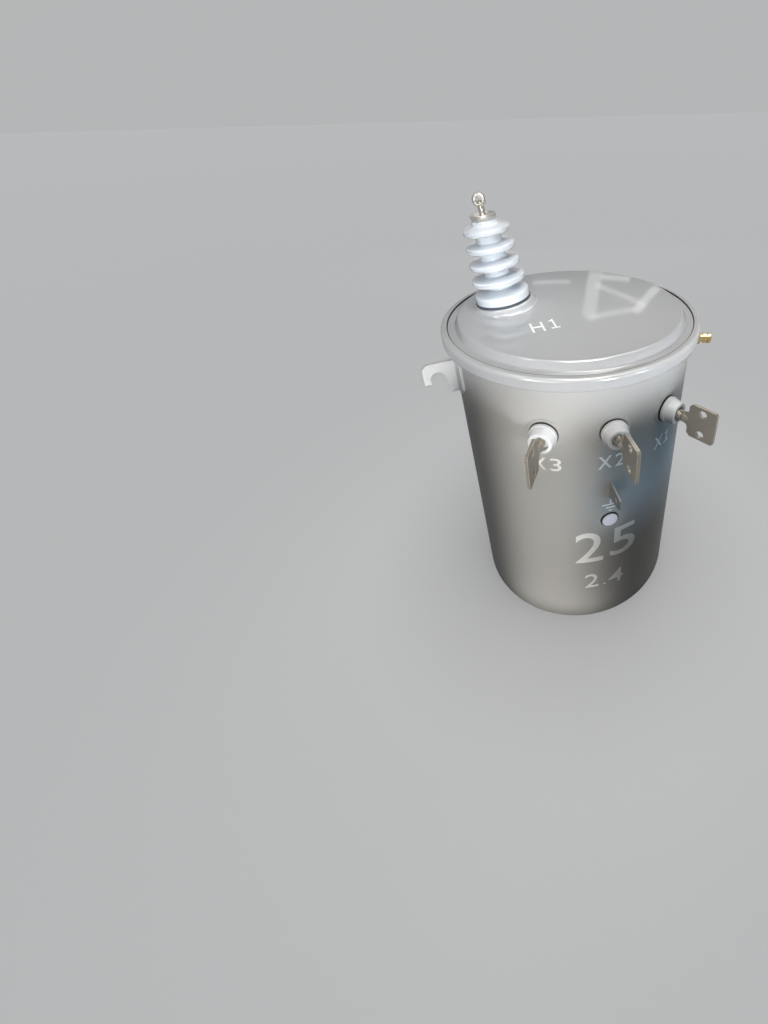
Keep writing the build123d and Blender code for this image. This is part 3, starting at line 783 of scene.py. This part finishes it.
def make_world():
    """The backdrop where it is seen, and a faint ambient light elsewhere."""
    world = bpy.data.worlds.new("studio")
    world.use_nodes = True
    tree = world.node_tree
    backdrop = tree.nodes["Background"]
    backdrop.inputs["Color"].default_value = backdrop_colour
    backdrop.inputs["Strength"].default_value = backdrop_glow
    ambient = tree.nodes.new("ShaderNodeBackground")
    ambient.inputs["Color"].default_value = ambient_colour
    ambient.inputs["Strength"].default_value = ambient_glow
    mix = tree.nodes.new("ShaderNodeMixShader")
    tree.links.new(seen_share(tree), mix.inputs["Fac"])
    tree.links.new(ambient.outputs["Background"], mix.inputs[1])
    tree.links.new(backdrop.outputs["Background"], mix.inputs[2])
    tree.links.new(mix.outputs["Shader"], tree.nodes["World Output"].inputs["Surface"])
    bpy.context.scene.world = world


make_floor()
make_world()


# Lamps

white = (1.0, 1.0, 1.0)
warm = (1.0, 0.95, 0.86)
cool = (0.44, 0.73, 1.0)
sky = (0.86, 0.93, 1.0)
room = (0, 0, 0.45)
bare = 180.0
left_bushing = polar(left_azimuth, 0.27, 0.572)
pad_face = polar(front_azimuth, 0.245, 0.335)


def softbox(name, azimuth, elevation, distance, width, height, target, power, spread, colour, tilt):
    """A rectangular soft light that faces a target, with a grid that narrows its beam."""
    target = Vector(target)
    flat = polar(azimuth, distance * math.cos(math.radians(elevation)), 0.0)
    spot = target + flat + Vector((0, 0, distance * math.sin(math.radians(elevation))))
    data = bpy.data.lights.new(name, "AREA")
    data.shape = "RECTANGLE"
    data.size = width
    data.size_y = height
    data.energy = power
    data.spread = math.radians(spread)
    data.color = colour
    light = bpy.data.objects.new(name, data)
    bpy.context.scene.collection.objects.link(light)
    aim = (target - spot).to_track_quat("-Z", "Y").to_matrix().to_4x4()
    light.matrix_world = Matrix.Translation(spot) @ aim @ Matrix.Rotation(math.radians(tilt), 4, "Z")


# Name, azimuth, elevation, distance, width, height, target, power, spread, colour and tilt
lamps = (
    ("wall_strip", -121.0, 1.0, 1.15, 0.20, 0.64, (0, 0, 0.33), 0.31, 12.0, warm, 0.0),
    ("wall_foot", -119.0, 1.0, 1.15, 0.24, 0.08, (0, 0, 0.035), 0.015, 8.0, warm, 0.0),
    ("wall_right_low", -68.0, 3.0, 1.1, 0.30, 0.14, (0.03, -0.10, 0.34), 0.018, 9.0, cool, 0.0),
    ("wall_right_middle", -62.0, 3.0, 1.1, 0.34, 0.18, (0.04, -0.10, 0.45), 0.036, 10.0, cool, 0.0),
    ("wall_top", -77.0, 4.0, 1.1, 0.36, 0.07, (0.03, -0.10, 0.645), 0.128, 11.0, white, 0.0),
    ("wall_top_right", -50.0, 4.0, 1.1, 0.36, 0.07, (0.06, -0.08, 0.65), 0.036, 11.0, sky, 0.0),
    ("wall_top_left", -140.0, 4.0, 1.1, 0.30, 0.06, (-0.08, -0.08, 0.655), 0.040, 9.0, white, 0.0),
    ("left_bushing", -72.0, 6.0, 1.1, 0.06, 0.05, left_bushing, 0.013, 7.0, white, 0.0),
    ("lug", -98.0, 4.0, 1.1, 0.06, 0.10, (-0.285, -0.03, 0.62), 0.028, 7.0, white, 0.0),
    ("bushing", -100.0, 6.0, 1.3, 0.2, 0.25, (-0.14, 0.05, 0.80), 0.135, 12.0, white, 0.0),
    ("bushing_sky", -112.0, 38.0, 1.3, 0.16, 0.16, (-0.135, 0.05, 0.755), 0.024, 9.0, sky, 0.0),
    ("pad", -97.0, 2.0, 1.1, 0.03, 0.03, pad_face, 0.0016, 4.0, white, 0.0),
    ("top_front", -75.0, 75.0, 1.3, 0.95, 0.28, (0.02, -0.16, 0.69), 1.35, 55.0, warm, 0.0),
    ("top_middle", -107.0, 88.0, 1.3, 0.70, 0.55, (0, -0.04, 0.68), 0.30, 45.0, white, 0.0),
    ("top_left", -175.0, 64.0, 1.2, 0.3, 0.3, (-0.14, -0.04, 0.70), 0.05, 20.0, white, 0.0),
    ("top_right", 40.0, 60.0, 1.2, 0.70, 0.70, (0.14, 0.03, 0.70), 0.38, 40.0, white, 0.0),
    ("streak_far", 68.8, 22.7, 4.0, 0.17, 1.06, room, 0.32, bare, white, -3.0),
    ("streak_right", 63.4, 22.7, 4.0, 0.07, 0.75, room, 0.12, bare, white, 57.0),
    ("streak_cross", 64.3, 28.5, 4.0, 0.07, 0.68, room, 0.12, bare, white, -64.0),
    ("streak_edge", 58.4, 23.4, 4.0, 0.11, 0.61, room, 0.16, bare, white, -16.0),
    ("streak_high", 64.8, 17.1, 4.0, 0.10, 0.34, room, 0.09, bare, white, 86.0),
    ("streak_left", 76.5, 18.5, 4.0, 0.08, 0.45, room, 0.08, bare, white, 83.0),
    ("pole_side", 74.0, 2.0, 3.0, 2.4, 0.5, room, 1.5, bare, white, 0.0),
    ("back_wall", 92.0, 0.0, 1.5, 1.1, 0.44, (0, 0.05, 0.33), 0.85, 13.0, white, 0.0),
    ("back_right_wall", 30.0, 0.0, 1.5, 0.40, 0.44, (0.05, 0, 0.33), 0.16, 13.0, white, 0.0),
)
for lamp in lamps:
    softbox(*lamp)

bpy.context.scene.view_settings.view_transform = "Standard"
